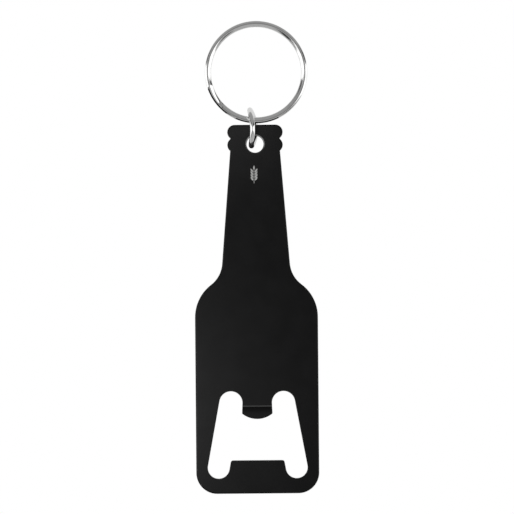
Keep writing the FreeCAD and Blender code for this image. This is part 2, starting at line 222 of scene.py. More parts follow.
below_seam = ease(tent, upward, *CLOTH_SEAM)
straight_ahead = ease(tent, maths(tent, "ABSOLUTE", backward), *AHEAD_PATCH)
shade = blend_colours(tent, below_seam, grey(CLOTH_ABOVE), grey(CLOTH_BELOW))
shade = blend_colours(tent, straight_ahead, shade, grey(CLOTH_AHEAD))
print("cloth:", CLOTH_ABOVE, "above and", CLOTH_BELOW, "below")

# %% [markdown]
# Panels and frames are bands between two lines. Each line is given by its height straight ahead
# and by how much it climbs towards the side, and each band by where it starts beside the middle.
# The left frame is a little weaker than the right one.

# %% Hang the dark frames and the white panels over it
PANEL_WHITE = 1.45
PANEL_FOOT = (-0.12, -0.33)
PANEL_HEAD = (0.03, 0.18)
PANEL_SIDE = (0.2, 0.3)
PANEL_EDGE = 0.03
FRAME_DARK = 0.03
FRAME_FOOT = (0.1, 0.0)
FRAME_HEAD = (0.42, 0.0)
FRAME_SIDE = (0.5, 0.62)
FRAME_EDGE = 0.04
LEFT_FRAME = 0.7

frame_band = between(line_over(*FRAME_FOOT), line_over(*FRAME_HEAD), FRAME_EDGE)
frame_strength = ease(tent, split.outputs["X"], -0.2, 0.2, LEFT_FRAME, 1.0)
dark_frame = overlap(tent, frame_band, ease(tent, aside, *FRAME_SIDE), frame_strength)
panel_band = between(line_over(*PANEL_FOOT), line_over(*PANEL_HEAD), PANEL_EDGE)
panel = overlap(tent, panel_band, ease(tent, aside, *PANEL_SIDE))
shade = blend_colours(tent, dark_frame, shade, grey(FRAME_DARK))
shade = blend_colours(tent, panel, shade, grey(PANEL_WHITE))
print("panels:", PANEL_WHITE, "times as bright as paper")

# %% Hang the small round cards and close the tent behind
CARD_BLACK = 0.012
ROUND_CARDS = (
    (-0.36, -0.40, 0.14, CARD_BLACK),
    (-0.55, -0.60, 0.13, CARD_BLACK),
    (0.43, -0.47, 0.13, FRAME_DARK),
)
CLOTH_BEHIND = 0.82
BEHIND = (0.0, 0.3)
PAPER_WHITE = 1.0

for across, up, reach, level in ROUND_CARDS:
    shade = blend_colours(tent, round_card(across, up, reach), shade, grey(level))
shade = blend_colours(tent, ease(tent, backward, *BEHIND), shade, grey(CLOTH_BEHIND))
seen = add_node(tent, "ShaderNodeLightPath").outputs["Is Camera Ray"]
shade = blend_colours(tent, seen, shade, grey(PAPER_WHITE))
background = add_node(tent, "ShaderNodeBackground", {"Color": shade})
world_output = add_node(tent, "ShaderNodeOutputWorld")
tent.links.new(background.outputs[0], world_output.inputs[0])
print("tent of light:", len(tent.nodes), "nodes")

# %% [markdown]
# Two soft lamps in front lift the plate at its head and at the left of its foot, so that its
# satin face isn't one even black. The bright wires would show them as hard white squares, so the
# lamps are linked to the plate alone.

# %% Hang two soft lamps for the plate
plate_only = bpy.data.collections.new("lit_by_the_lamps")
plate_only.objects.link(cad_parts["opener_plate"])


def hang_lamp(name, place, side, power):
    """A square soft light at place that faces straight back and lights only the plate."""
    bpy.ops.object.light_add(type="AREA", location=place, rotation=(math.radians(90), 0, 0))
    lamp = bpy.context.object
    lamp.name = name
    lamp.data.size = side
    lamp.data.energy = power
    lamp.light_linking.receiver_collection = plate_only


HEAD_LAMP_PLACE = (PLATE_MIDDLE.x - 8 * MM, -50 * MM, PLATE_HIGH.z + 5 * MM)
HEAD_LAMP_SIDE = 20 * MM
HEAD_LAMP_WATTS = 0.0052
FOOT_LAMP_PLACE = (PLATE_MIDDLE.x - 45 * MM, -100 * MM, PLATE_LOW.z + 16 * MM)
FOOT_LAMP_SIDE = 40 * MM
FOOT_LAMP_WATTS = 0.053

hang_lamp("head_lamp", HEAD_LAMP_PLACE, HEAD_LAMP_SIDE, HEAD_LAMP_WATTS)
hang_lamp("foot_lamp", FOOT_LAMP_PLACE, FOOT_LAMP_SIDE, FOOT_LAMP_WATTS)

# %% [markdown]
# The opener hangs, so the floor is a little below its foot. It is plain and pale, and like the
# top of a light table it glows a little. The wires don't mirror it.

# %% Lay the floor
FLOOR_DROP = 22 * MM
FLOOR_RADIUS = 0.24
FLOOR_PALE = 0.86
FLOOR_GLOW = 0.25

bpy.ops.object.select_all(action="DESELECT")
bpy.ops.mesh.primitive_circle_add(
    vertices=96,
    radius=FLOOR_RADIUS,
    fill_type="NGON",
    location=(0, 0, PLATE_LOW.z - FLOOR_DROP),
)
floor = bpy.context.object
floor.name = "floor"
floor.visible_glossy = False
floor_paint = bpy.data.materials.new("pale_floor")
floor_paint.use_nodes = True
floor_shader = floor_paint.node_tree.nodes["Principled BSDF"]
floor_shader.inputs["Base Color"].default_value = grey(FLOOR_PALE)
floor_shader.inputs["Roughness"].default_value = 0.8
floor_shader.inputs["Emission Color"].default_value = grey(1.0)
floor_shader.inputs["Emission Strength"].default_value = FLOOR_GLOW
floor.data.materials.append(floor_paint)
print("floor lies", round(FLOOR_DROP / MM), "mm under the plate")

# %% [markdown]
# ## Helpers for modelling
#
# In edit mode an operator works on whatever is selected. So the cells below first deselect
# everything and then pick faces or edges in code, by where they are or which way they face.

# %% Helpers that select and finish
def start_edit(piece):
    bpy.context.view_layer.objects.active = piece
    bpy.ops.object.mode_set(mode="EDIT")


def stop_edit():
    bpy.ops.object.mode_set(mode="OBJECT")


def pick(piece, mode, wanted):
    """In edit mode, selects only the faces, edges or vertices for which wanted() is true."""
    bpy.ops.mesh.select_mode(type=mode)
    bpy.ops.mesh.select_all(action="DESELECT")
    stop_edit()
    parts = {"FACE": piece.data.polygons, "EDGE": piece.data.edges, "VERT": piece.data.vertices}
    found = 0
    for part in parts[mode]:
        part.select = wanted(part)
        found += part.select
    start_edit(piece)
    return found


def settle(piece):
    """Moves the piece's place into its mesh, so that the object itself sits at the origin."""
    bpy.ops.object.select_all(action="DESELECT")
    piece.select_set(True)
    bpy.context.view_layer.objects.active = piece
    bpy.ops.object.transform_apply(location=True, rotation=True, scale=True)


def close_up(piece, smooth_angle):
    """Merges doubles, turns the faces outwards and smooths all but the sharp edges."""
    start_edit(piece)
    bpy.ops.mesh.select_mode(type="VERT")
    bpy.ops.mesh.select_all(action="SELECT")
    bpy.ops.mesh.remove_doubles(threshold=0.0005 * MM)
    bpy.ops.mesh.normals_make_consistent(inside=False)
    stop_edit()
    settle(piece)
    bpy.ops.object.shade_smooth_by_angle(angle=math.radians(smooth_angle))
    low = Vector([min(v.co[i] for v in piece.data.vertices) for i in range(3)])
    high = Vector([max(v.co[i] for v in piece.data.vertices) for i in range(3)])
    print(piece.name, len(piece.data.polygons), "faces", [round(s / MM, 2) for s in high - low])


print("modelling helpers ready")

# %% [markdown]
# ## The split ring
#
# A split ring is one length of oval spring wire wound almost twice round. The front turn starts
# at a free end, and near that end the wire steps over to the back turn. It could be a curve with a
# bevel, but then the oval wire would twist along the step. Spinning a cross-section keeps the
# wire upright all the way: a front turn, a step in which each small spin is followed by a small
# push back, and a back turn.

# %% Sizes of the ring wire
RING_OUTER = RING_HIGH.x
WIRE_WIDTH = 1.5 * MM
WIRE_HEIGHT = 0.9 * MM
WIRE_DISH = 12.0
TURN_OFFSET = RING_HIGH.y - WIRE_HEIGHT / 2
RING_MIDDLE = RING_OUTER - WIRE_WIDTH / 2
RING_END = 229.0
RING_SPARE = 8.0
FULL_TURN = 334.0
FRONT_COUNT = 240
BACK_COUNT = 238
STEP_TURN = 26.0
STEP_COUNT = 24
print("turns lie", round(2 * TURN_OFFSET / MM, 3), "mm apart")

# %% Draw the oval cross-section at the free end
bpy.ops.object.select_all(action="DESELECT")
bpy.ops.mesh.primitive_circle_add(
    vertices=48,
    radius=WIRE_HEIGHT / 2,
    fill_type="NOTHING",
    location=(RING_MIDDLE, -TURN_OFFSET, 0),
)
ring = bpy.context.object
ring.name = "key_ring_wire"
settle(ring)
start_edit(ring)
bpy.ops.mesh.select_all(action="SELECT")
bpy.ops.transform.resize(
    value=(WIRE_WIDTH / WIRE_HEIGHT, 1, 1),
    center_override=(RING_MIDDLE, -TURN_OFFSET, 0),
)
bpy.ops.transform.rotate(
    value=math.radians(WIRE_DISH),
    orient_axis="Z",
    center_override=(RING_MIDDLE, -TURN_OFFSET, 0),
)
bpy.ops.transform.rotate(
    value=math.radians(RING_END - RING_SPARE),
    orient_axis="Y",
    center_override=(0, 0, 0),
)
print("section:", len(ring.data.vertices), "points")

# %% Spin the front turn, the step and the back turn
def wind(turn, steps, axis=(0, 1, 0), centre=(0, 0, 0)):
    """Spins the selected section on round its axis; a negative turn goes clockwise."""
    bpy.ops.mesh.spin(steps=steps, angle=math.radians(turn), center=centre, axis=axis)


def eased(share):
    """A straight ramp from 0 to 1 with a short soft start and end."""
    soft = 0.12
    if share < soft:
        return share**2 / (2 * soft * (1 - soft))
    if share > 1 - soft:
        return 1 - eased(1 - share)
    return (share - soft / 2) / (1 - soft)


wind(FULL_TURN, FRONT_COUNT)
for step in range(STEP_COUNT):
    rise = eased((step + 1) / STEP_COUNT) - eased(step / STEP_COUNT)
    wind(STEP_TURN / STEP_COUNT, 1)
    bpy.ops.transform.translate(value=(0, 2 * TURN_OFFSET * rise, 0))
wind(FULL_TURN, BACK_COUNT)
bpy.ops.mesh.edge_face_add()
stop_edit()
print("ring:", len(ring.data.polygons), "faces before its end is cut")

# %% [markdown]
# The cutter leaves the free end on a slant, with the inner side a little shorter. Bisect makes
# that cut, but only through the front turn near the end, so only those faces are selected.

# %% Cut the free end on a slant
END_SLANT = 1.1 * MM
CUT_REACH = 12.0
FRONT_SIDE = -0.3 * TURN_OFFSET


def round_ring(angle, radius, depth=0.0):
    """A point at an angle round the ring, seen from the front."""
    turned = math.radians(angle)
    return Vector((radius * math.cos(turned), depth, radius * math.sin(turned)))


def angle_of(point):
    return math.degrees(math.atan2(point.z, point.x)) % 360


outer_tip = round_ring(RING_END, RING_OUTER)
tangent = round_ring(RING_END + 90, 1)
inner_tip = round_ring(RING_END, RING_OUTER - WIRE_WIDTH) - END_SLANT * tangent
cut_normal = (inner_tip - outer_tip).cross(Vector((0, 1, 0))).normalized()
if cut_normal.dot(tangent) > 0:
    cut_normal = -cut_normal


def near_free_end(face):
    off_end = abs(angle_of(face.center) - RING_END)
    return off_end < CUT_REACH and face.center.y < FRONT_SIDE


start_edit(ring)
print("faces to cut:", pick(ring, "FACE", near_free_end))
bpy.ops.mesh.bisect(
    plane_co=outer_tip, plane_no=cut_normal, use_fill=True, clear_outer=True, threshold=1e-7
)
stop_edit()

# %% Round the rims of both cut ends
END_ROUND = 0.07 * MM


def end_rims(piece):
    """The keys of the edges round the piece's cap faces, the only faces with many corners."""
    keys = set()
    for face in piece.data.polygons:
        if len(face.vertices) > 6:
            keys.update(face.edge_keys)
    return keys


def round_ends(piece):
    rims = end_rims(piece)
    start_edit(piece)
    found = pick(piece, "EDGE", lambda edge: edge.key in rims)
    bpy.ops.mesh.bevel(offset=END_ROUND, segments=3, affect="EDGES")
    stop_edit()
    return found


print("rim edges:", round_ends(ring))
close_up(ring, 35)

# %% [markdown]
# The lower edge of the ring hangs right over the plate's black head and mirrors it. Studios often
# strengthen such an edge with strips of black card. Two are bent round the ring just outside it,
# one over the plate's head and one beside the step. Two flat ones darken the far side of the
# link: a disc in the hole, and a shelf over it behind the plate. Only reflections see them.

# %% A helper that hides a card from everything but reflections
card_paint = bpy.data.materials.new("black_card")
card_paint.use_nodes = True
card_shader = card_paint.node_tree.nodes["Principled BSDF"]
card_shader.inputs["Base Color"].default_value = grey(0.008)
card_shader.inputs["Specular IOR Level"].default_value = 0.0


def hide_card(card):
    """Only reflections see the card, and it isn't part of the object."""
    card.visible_camera = False
    card.visible_diffuse = False
    card.visible_shadow = False
    card.data.materials.append(card_paint)


print("card paint:", card_paint.name)

# %% Bend two black cards round the ring
CARD_RADIUS = RING_OUTER + 0.28 * MM
CARD_THICK = 0.04 * MM
CARD_FRONT = -1.75 * MM
CARD_BACK = 0.4 * MM
CARD_COUNT = 32
BENT_CARDS = (("card_beside_step", 199.0, 35.0), ("card_over_head", 246.0, 50.0))

for name, start, turn in BENT_CARDS:
    bpy.ops.object.select_all(action="DESELECT")
    bpy.ops.mesh.primitive_plane_add(
        size=1, location=(CARD_RADIUS, (CARD_FRONT + CARD_BACK) / 2, 0)
    )
    card = bpy.context.object
    card.name = name
    card.scale = (CARD_THICK, CARD_BACK - CARD_FRONT, 1)
    settle(card)
    start_edit(card)
    bpy.ops.mesh.select_all(action="SELECT")
    bpy.ops.mesh.delete(type="ONLY_FACE")
    bpy.ops.mesh.select_all(action="SELECT")
    bpy.ops.transform.rotate(
        value=math.radians(start), orient_axis="Y", center_override=(0, 0, 0)
    )
    wind(turn, CARD_COUNT)
    stop_edit()
    hide_card(card)
    print(name, "runs from", start, "to", start + turn, "degrees")

# %% Put a black disc in the hole
DISC_RADIUS = 1.95 * MM

bpy.ops.object.select_all(action="DESELECT")
bpy.ops.mesh.primitive_circle_add(
    vertices=32,
    radius=DISC_RADIUS,
    fill_type="NGON",
    location=HOLE_MIDDLE,
    rotation=(math.radians(90), 0, 0),
)
disc = bpy.context.object
disc.name = "card_in_hole"
settle(disc)
hide_card(disc)
print("disc:", round(2 * DISC_RADIUS / MM, 1), "mm across")

# %% Lay a black shelf over the link's far side, behind the plate
SHELF_RISE = 2.3 * MM
SHELF_BACK = 4.0 * MM
SHELF_WIDTH = 3.2 * MM

shelf_middle = HOLE_MIDDLE + Vector((0, (PLATE_HIGH.y + SHELF_BACK) / 2, SHELF_RISE))
bpy.ops.object.select_all(action="DESELECT")
bpy.ops.mesh.primitive_plane_add(size=1, location=shelf_middle)
shelf = bpy.context.object
shelf.name = "card_behind_hole"
shelf.scale = (SHELF_WIDTH, SHELF_BACK - PLATE_HIGH.y, 1)
settle(shelf)
hide_card(shelf)
print("shelf reaches", round(SHELF_BACK / MM, 1), "mm back")

# %% [markdown]
# ## The link
#
# The link is one turn of round wire, bent round a bar and sawn off, so that its two ends butt
# against each other. A torus would be quicker, but it has no joint and lies perfectly flat.
# A real link is sprung a little when it is closed with pliers. So its round section is spun in
# small steps, and after each step it is nudged sideways along a smooth curve.

# %% Sizes of the link
LINK_WIRE = 0.65 * MM
LINK_RADIUS = (LINK_HIGH.y - LINK_LOW.y) / 2 - LINK_WIRE
LINK_MIDDLE = Vector((0, 0, (LINK_LOW.z + LINK_HIGH.z) / 2))
LINK_TURN = 358.8
LINK_STEPS = 120
LINK_START = 305.0
SIDE_MEAN, SIDE_LEAN, SIDE_YAW, SIDE_SPRING = -1.014 * MM, -0.148 * MM, -0.35 * MM, -0.399 * MM


def sideways(angle):
    """How far the wire's middle lies to the right, by its angle from the top to the front."""
    turned = math.radians(angle)
    lean = SIDE_LEAN * math.cos(turned) + SIDE_YAW * math.sin(turned)
    return SIDE_MEAN + lean + SIDE_SPRING * math.cos(2 * turned)


print("link radius", round(LINK_RADIUS / MM, 2), "mm, top at", round(sideways(0) / MM, 2))

# %% Spin the link
bpy.ops.object.select_all(action="DESELECT")
bpy.ops.mesh.primitive_circle_add(
    vertices=36,
    radius=LINK_WIRE,
    fill_type="NOTHING",
    location=LINK_MIDDLE + Vector((sideways(LINK_START), 0, LINK_RADIUS)),
    rotation=(math.radians(90), 0, 0),
)
link = bpy.context.object
link.name = "link_wire"
settle(link)
start_edit(link)
bpy.ops.mesh.select_all(action="SELECT")
bpy.ops.transform.rotate(
    value=math.radians(-LINK_START), orient_axis="X", center_override=LINK_MIDDLE
)
for step in range(LINK_STEPS):
    before = LINK_START + LINK_TURN * step / LINK_STEPS
    after = LINK_START + LINK_TURN * (step + 1) / LINK_STEPS
    wind(-LINK_TURN / LINK_STEPS, 1, axis=(1, 0, 0), centre=LINK_MIDDLE)
    bpy.ops.transform.translate(value=(sideways(after) - sideways(before), 0, 0))
bpy.ops.mesh.edge_face_add()
bpy.ops.mesh.select_all(action="DESELECT")
bpy.ops.mesh.select_mode(type="VERT")
bpy.ops.mesh.select_non_manifold()
bpy.ops.mesh.edge_face_add()
stop_edit()
print("rim edges:", round_ends(link))
close_up(link, 35)

# %% [markdown]
# ## The engraved mark
#
# The neck carries a small light mark that a laser has burnt into the black skin. Here it is a
# plain ear of barley. One grain is drawn from a circle, and its copies are set in pairs up a
# stem. It could be painted in the plate's material, but a thin piece of its own keeps
# the edges sharp however close the view.

# %% Draw one grain
MARK_PLACE = Vector((-0.71 * MM, PLATE_FRONT, -25.0 * MM))
MARK_DEPTH = 0.012 * MM
MARK_PROUD = 0.004 * MM
GRAIN_LENGTH = 0.98 * MM
GRAIN_WIDTH = 0.42 * MM
GRAIN_POINT = 0.14 * GRAIN_LENGTH

bpy.ops.object.select_all(action="DESELECT")
bpy.ops.mesh.primitive_circle_add(
    vertices=28, radius=GRAIN_LENGTH / 2, fill_type="NGON", rotation=(math.radians(90), 0, 0)
)
grain = bpy.context.object
grain.name = "barley_grain"
settle(grain)
start_edit(grain)
bpy.ops.mesh.select_all(action="SELECT")
bpy.ops.transform.resize(value=(GRAIN_WIDTH / GRAIN_LENGTH, 1, 1), center_override=(0, 0, 0))
pick(grain, "VERT", lambda vertex: vertex.co.z > 0.49 * GRAIN_LENGTH)
bpy.ops.transform.translate(value=(0, 0, GRAIN_POINT))
stop_edit()
print("grain:", len(grain.data.vertices), "corners")

# %% Set its copies up the stem
PAIR_COUNT = 4
PAIR_PITCH = 0.66 * MM
PAIR_FOOT = -1.02 * MM
GRAIN_LEAN = 34.0
GRAIN_ASIDE = 0.5 * MM
STEM_WIDTH = 0.13 * MM
STEM_FOOT = -2.15 * MM


def copy_grain(across, up, lean):
    """A copy of the grain with its own mesh, leaning by an angle in degrees."""
    copy = grain.copy()
    copy.data = grain.data.copy()
    bpy.context.collection.objects.link(copy)
    copy.location = MARK_PLACE + Vector((across, 0, up))
    copy.rotation_euler = (0, math.radians(lean), 0)
    return copy


ear = [copy_grain(0, PAIR_FOOT + PAIR_COUNT * PAIR_PITCH, 0)]
for row in range(PAIR_COUNT):
    for hand in (-1, 1):
        ear.append(copy_grain(hand * GRAIN_ASIDE, PAIR_FOOT + row * PAIR_PITCH, hand * GRAIN_LEAN))
bpy.data.objects.remove(grain)
print("grains:", len(ear))

# %% Add the stem and join the mark
stem_top = PAIR_FOOT + (PAIR_COUNT - 0.5) * PAIR_PITCH
bpy.ops.object.select_all(action="DESELECT")
bpy.ops.mesh.primitive_plane_add(
    size=1,
    location=MARK_PLACE + Vector((0, 0, (stem_top + STEM_FOOT) / 2)),
    rotation=(math.radians(90), 0, 0),
)
mark = bpy.context.object
mark.name = "engraved_barley_ear"
mark.scale = (STEM_WIDTH, stem_top - STEM_FOOT, 1)
for piece in ear:
    piece.select_set(True)
bpy.ops.object.join()
settle(mark)
start_edit(mark)
bpy.ops.mesh.select_all(action="SELECT")
bpy.ops.transform.translate(value=(0, -MARK_PROUD, 0))
stop_edit()
skin = mark.modifiers.new("skin", "SOLIDIFY")
skin.thickness = MARK_DEPTH
skin.offset = -1
bpy.ops.object.modifier_apply(modifier=skin.name)
print("mark:", len(mark.data.polygons), "faces", [round(d / MM, 2) for d in mark.dimensions])

# %% [markdown]
# ## Effects that several finishes share
#
# Fine grain, smudges and rub marks turn up on the black plate and on both wires, each time in
# another size. So each is a node group: a small machine with named inputs and outputs that is
# built once and then placed in every material that needs it.

# %% A helper that starts a node group
def new_group(name, inputs, outputs):
    """An empty shader group with these float inputs and outputs, and a Vector to read from."""
    group = bpy.data.node_groups.new(name, "ShaderNodeTree")
    group.interface.new_socket(name="Vector", in_out="INPUT", socket_type="NodeSocketVector")
    for label, value in inputs.items():
        socket = group.interface.new_socket(
            name=label, in_out="INPUT", socket_type="NodeSocketFloat"
        )
        socket.default_value = value
    for label in outputs:
        group.interface.new_socket(name=label, in_out="OUTPUT", socket_type="NodeSocketFloat")
    entry = group.nodes.new("NodeGroupInput")
    result = group.nodes.new("NodeGroupOutput")
    return group, entry.outputs, result.inputs


def scaled(tree, vector, factor):
    """A vector made longer or shorter."""
    node = add_node(tree, "ShaderNodeVectorMath", {0: vector}, operation="SCALE")
    feed(tree, node.inputs["Scale"], factor)
    return node.outputs[0]


print("group helper ready")

# %% Fine grain: the small pits of a blasted or plated surface
NOISE_RANGE = (0.3, 0.7)
CLOUDS_TO_GRAIN = 0.02

fine_grain, given, result = new_group("fine_grain", {"Size in mm": 0.1}, ["Grain", "Clouds"])
per_grain = maths(fine_grain, "DIVIDE", 1 / MM, given["Size in mm"])
close = scaled(fine_grain, given["Vector"], per_grain)
grain_noise = add_node(
    fine_grain, "ShaderNodeTexNoise", {"Vector": close, "Scale": 1.0, "Detail": 3.0}
)
wide = scaled(fine_grain, close, CLOUDS_TO_GRAIN)
cloud_noise = add_node(
    fine_grain, "ShaderNodeTexNoise", {"Vector": wide, "Scale": 1.0, "Detail": 4.0}
)
feed(fine_grain, result["Grain"], grain_noise.outputs["Fac"])
feed(fine_grain, result["Clouds"], ease(fine_grain, cloud_noise.outputs["Fac"], *NOISE_RANGE))
print("fine_grain:", len(fine_grain.nodes), "nodes")

# %% Smudges: soft patches where fingers have been
SMUDGE_SOFT = 0.15

smudges, given, result = new_group("smudges", {"Size in mm": 6.0, "Share": 0.5}, ["Smudge"])
per_patch = maths(smudges, "DIVIDE", 1 / MM, given["Size in mm"])
patch_noise = add_node(
    smudges,
    "ShaderNodeTexNoise",
    {"Vector": scaled(smudges, given["Vector"], per_patch), "Scale": 1.0, "Distortion": 0.8},
)
threshold = maths(smudges, "SUBTRACT", 1.0, given["Share"])
soft_start = maths(smudges, "SUBTRACT", threshold, SMUDGE_SOFT)
soft_end = maths(smudges, "ADD", threshold, SMUDGE_SOFT)
feed(smudges, result["Smudge"], ease(smudges, patch_noise.outputs["Fac"], soft_start, soft_end))
print("smudges:", len(smudges.nodes), "nodes")

# %% [markdown]
# Rub marks run along a wire, because keys and fingers slide along it. Noise is stretched by
# dividing its coordinates by a long length one way and a short one the other. The wire runs
# round a circle, so the short way is the distance from that circle, and the long way is simply
# the place in space. That leaves no seam where an angle would jump from 180 to -180 degrees.

# %% Rub marks: fine lines along a wire that circles the Y axis
LINE_WIDTH = 0.05

rub_marks, given, result = new_group(
    "rub_marks", {"Radius in mm": 10.0, "Length in mm": 4.0, "Width in mm": 0.05}, ["Marks"]
)
place = add_node(rub_marks, "ShaderNodeSeparateXYZ", {0: scaled(rub_marks, given["Vector"], 1 / MM)})
flat = add_node(rub_marks, "ShaderNodeCombineXYZ", {0: place.outputs["X"], 1: place.outputs["Z"]})
reach = add_node(rub_marks, "ShaderNodeVectorMath", {0: flat.outputs[0]}, operation="LENGTH")
off_circle = maths(rub_marks, "SUBTRACT", reach.outputs["Value"], given["Radius in mm"])
stretched = add_node(
    rub_marks,
    "ShaderNodeCombineXYZ",
    {
        0: maths(rub_marks, "DIVIDE", place.outputs["X"], given["Length in mm"]),
        1: maths(rub_marks, "DIVIDE", place.outputs["Z"], given["Length in mm"]),
        2: maths(rub_marks, "DIVIDE", off_circle, given["Width in mm"]),
    },
)
line_noise = add_node(
    rub_marks,
    "ShaderNodeTexNoise",
    {
        "Vector": stretched.outputs[0],
        "W": maths(rub_marks, "DIVIDE", place.outputs["Y"], given["Width in mm"]),
        "Scale": 1.0,
        "Detail": 2.0,
    },
    noise_dimensions="4D",
)
off_middle = maths(
    rub_marks, "ABSOLUTE", maths(rub_marks, "SUBTRACT", line_noise.outputs["Fac"], 0.5)
)
feed(rub_marks, result["Marks"], ease(rub_marks, off_middle, LINE_WIDTH, 0.0))
print("rub_marks:", len(rub_marks.nodes), "nodes")

# %% A helper that starts a material
def new_finish(name, metallic=0.0, roughness=None, specular=None):
    """A material with its Principled shader; plain values are set on the shader itself."""
    finish = bpy.data.materials.new(name)
    finish.use_nodes = True
    tree = finish.node_tree
    shader = tree.nodes["Principled BSDF"]
    shader.inputs["Metallic"].default_value = metallic
    if roughness is not None:
        shader.inputs["Roughness"].default_value = roughness
    if specular is not None:
        shader.inputs["Specular IOR Level"].default_value = specular
    here = add_node(tree, "ShaderNodeTexCoord").outputs["Object"]
    return finish, tree, shader, here


def place_group(tree, group, inputs):
    """Places a shared effect in a material with this material's own values."""
    node = tree.nodes.new("ShaderNodeGroup")
    node.node_tree = group
    for name, value in inputs.items():
        feed(tree, node.inputs[name], value)
    return node.outputs


def add_bump(tree, shader, height, distance, strength=1.0):
    """Feeds a height in metres of relief to the shader's normal."""
    bump = add_node(
        tree, "ShaderNodeBump", {"Height": height, "Distance": distance, "Strength": strength}
    )
    tree.links.new(bump.outputs["Normal"], shader.inputs["Normal"])


print("material helpers ready")

# %% [markdown]
# ## The black plate
#
# The plate is aluminium whose skin has been anodised and dyed. The skin is matt black glass, a
# few thousandths of a millimetre thick, over a blasted surface. So it isn't a metal to the
# shader: it is a dark body with a weak, broad shine. The rounded edges are handled most, and
# there the skin is a little thinner and greyer. Where they are is read from the depth, because
# only the rounding lies between the flat face and the wall.

# %% Find the rounded edges by their depth
EDGE_ROUND = 0.4 * MM
HALF_THICK = PLATE_HIGH.y
FACE_SIDE = (HALF_THICK - 0.01 * EDGE_ROUND, HALF_THICK - 0.2 * EDGE_ROUND)
WALL_SIDE = (HALF_THICK - EDGE_ROUND, HALF_THICK - 0.4 * EDGE_ROUND)

plate_finish, tree, shader, here = new_finish("black_anodised_skin", specular=0.11)
spot = add_node(tree, "ShaderNodeSeparateXYZ", {0: here})
height = spot.outputs["Z"]
forward = spot.outputs["Y"]
depth = maths(tree, "ABSOLUTE", forward)
edge = overlap(tree, ease(tree, depth, *FACE_SIDE), ease(tree, depth, *WALL_SIDE))
print("edges lie over", round(WALL_SIDE[0] / MM, 2), "mm from the middle")

# %% [markdown]
# Two more places get a painted highlight. The bevel of the hanging hole is painted light grey,
# mostly over its upper half, and the bevel of the step that is coined across the tongue is painted
# lighter.
# The land under that step gets painted shade, and is painted blacker than the face.

# %% Find the bevel round the hole
HOLE_RIM = 2.37 * MM
BEVEL_FOOT = HALF_THICK - 0.3 * MM
HOLE_LIGHT_START = HOLE_MIDDLE.z - 1.5 * MM
HOLE_LIGHT_END = HOLE_MIDDLE.z + 0.5 * MM
HOLE_LIGHT_LEAST = 0.15
SOFT = 0.01 * MM

flat_spot = add_node(tree, "ShaderNodeVectorMath", {0: here, 1: (1, 0, 1)}, operation="MULTIPLY")
from_hole = add_node(
    tree,
    "ShaderNodeVectorMath",
    {0: flat_spot.outputs[0], 1: HOLE_MIDDLE},
    operation="DISTANCE",
)
in_rim = ease(tree, from_hole.outputs["Value"], HOLE_RIM + SOFT, HOLE_RIM - 3 * SOFT)
off_wall = ease(tree, depth, BEVEL_FOOT - 4 * SOFT, BEVEL_FOOT)
# The hole's bevel gets a painted highlight, light grey and strongest over its upper half.
hole_highlight_fade = ease(tree, height, HOLE_LIGHT_START, HOLE_LIGHT_END, HOLE_LIGHT_LEAST, 1.0)
hole_bevel = overlap(tree, in_rim, off_wall, hole_highlight_fade)
print("hole bevel reaches", round(HOLE_RIM / MM, 2), "mm from the hole's middle")

# %% Find the coined step across the tongue
STEP_ROOT = PLATE_HIGH.z - 68.79 * MM
STEP_TOP = STEP_ROOT + 0.3 * MM
LAND_PLACE = PLATE_FRONT + 0.8 * MM
LAND_FADE = (STEP_ROOT - 2.4 * MM, STEP_ROOT - 0.3 * MM)
TONGUE_HALF = 3.71 * MM

off_centre = maths(tree, "SUBTRACT", spot.outputs["X"], PLATE_MIDDLE.x)
off_centre = maths(tree, "ABSOLUTE", off_centre)
on_tongue = ease(tree, off_centre, TONGUE_HALF - 2 * SOFT, TONGUE_HALF - 6 * SOFT)
over_root = ease(tree, height, STEP_ROOT - 6 * SOFT, STEP_ROOT - 2 * SOFT)
under_top = ease(tree, height, STEP_TOP + 2 * SOFT, STEP_TOP - 2 * SOFT)
off_face = ease(tree, forward, PLATE_FRONT + 0.4 * SOFT, PLATE_FRONT + 2 * SOFT)
off_land = ease(tree, forward, LAND_PLACE - 20 * SOFT, LAND_PLACE - 30 * SOFT)
# The step's bevel gets a painted highlight along the step's upper bend.
step_bevel = overlap(tree, over_root, under_top, off_face, off_land, on_tongue)
from_land = maths(tree, "ABSOLUTE", maths(tree, "SUBTRACT", forward, LAND_PLACE))
on_land = ease(tree, from_land, 10 * SOFT, 6 * SOFT)
under_root = maths(tree, "SUBTRACT", 1.0, over_root)
# The land under the step gets painted shade, darkest by the step's root and fading down the tongue.
land = overlap(tree, on_land, on_tongue, under_root, ease(tree, height, *LAND_FADE))
print("step lies at", round(STEP_ROOT / MM, 2), "mm")

# %% Colour the skin
SKIN_DARK = (0.0022, 0.0022, 0.0023, 1)
SKIN_LIGHT = (0.0034, 0.0034, 0.0035, 1)
EDGE_WORN = (0.016, 0.0158, 0.016, 1)
# Painted highlight on the hole's bevel.
HOLE_PAINTED_HIGHLIGHT = grey(0.22)
# Painted highlight on the step's bevel.
STEP_PAINTED_HIGHLIGHT = grey(0.048)
# Painted shade on the land under the step.
LAND_PAINTED_SHADE = grey(0.0008)

grain = place_group(tree, fine_grain, {"Vector": here, "Size in mm": 0.09})
worn = overlap(tree, edge, grain["Clouds"])
skin_colour = blend_colours(tree, grain["Clouds"], SKIN_DARK, SKIN_LIGHT)
# Painted highlights on the hole and step bevels and painted shade on the land are blended in last.
for mask, colour in (
    (worn, EDGE_WORN),
    (hole_bevel, HOLE_PAINTED_HIGHLIGHT),
    (step_bevel, STEP_PAINTED_HIGHLIGHT),
    (land, LAND_PAINTED_SHADE),
):
    skin_colour = blend_colours(tree, mask, skin_colour, colour)
feed(tree, shader.inputs["Base Color"], skin_colour)
print("skin colour is blended after", len(tree.nodes), "nodes")

